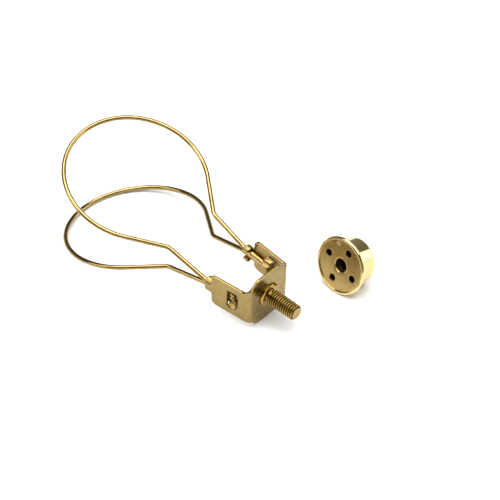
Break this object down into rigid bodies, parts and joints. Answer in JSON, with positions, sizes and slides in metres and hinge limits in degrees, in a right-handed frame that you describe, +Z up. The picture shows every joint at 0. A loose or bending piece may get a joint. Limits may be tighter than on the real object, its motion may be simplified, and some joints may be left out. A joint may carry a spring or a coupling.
{
  "type": "clip-on lampshade adapter",
  "caption": "Sprung wire loops on a folded sheet bracket clip over a light bulb; a threaded stud on the bracket takes a lampshade and a round flanged finial nut.",
  "frame": {"origin": "middle of the footprint, on the surface that the clip and its finial lie on", "axes": "+X the way the stud points, seen from above; +Y from the near ear to the far ear, towards the finial; +Z up"},
  "size_m": [0.1222, 0.0714, 0.0434],
  "materials": {
    "plated_sheet": "satin plated, yellow gold",
    "plated_stud": "semi-gloss plated thread",
    "spring_wire": "glossy plated wire",
    "polished_brass": "mirror polished",
    "pressed_brass": "soft sheen"
  },
  "bodies": {
    "clip_frame": {"bracket": "plated_sheet", "threaded_stud": "plated_stud", "upper_wire_tails": "spring_wire", "lower_wire_tails": "spring_wire"},
    "upper_loop": {"upper_wire_loop": "spring_wire"},
    "lower_loop": {"lower_wire_loop": "spring_wire"},
    "finial": {"finial_shell": "polished_brass", "finial_disc": "pressed_brass"}
  },
  "joints": [
    {"name": "upper_loop_spring", "type": "hinge", "parent": "clip_frame", "child": "upper_loop", "pos_m": [0.01648, -0.00634, 0.01424], "axis": [0.0067, 0.9969, 0.0781], "range_deg": [-10, 20], "stiffness_Nm_per_rad": 0.8},
    {"name": "lower_loop_spring", "type": "hinge", "parent": "clip_frame", "child": "lower_loop", "pos_m": [0.01631, -0.00634, 0.01231], "axis": [-0.0067, -0.9969, -0.0781], "range_deg": [-10, 20], "stiffness_Nm_per_rad": 0.8},
    {"name": "finial_spin", "type": "hinge", "parent": "clip_frame", "child": "finial", "pos_m": [0.04942, 0.02326, 0.01136], "axis": [-0.0351, -0.9562, 0.2906], "continuous": true}
  ]
}
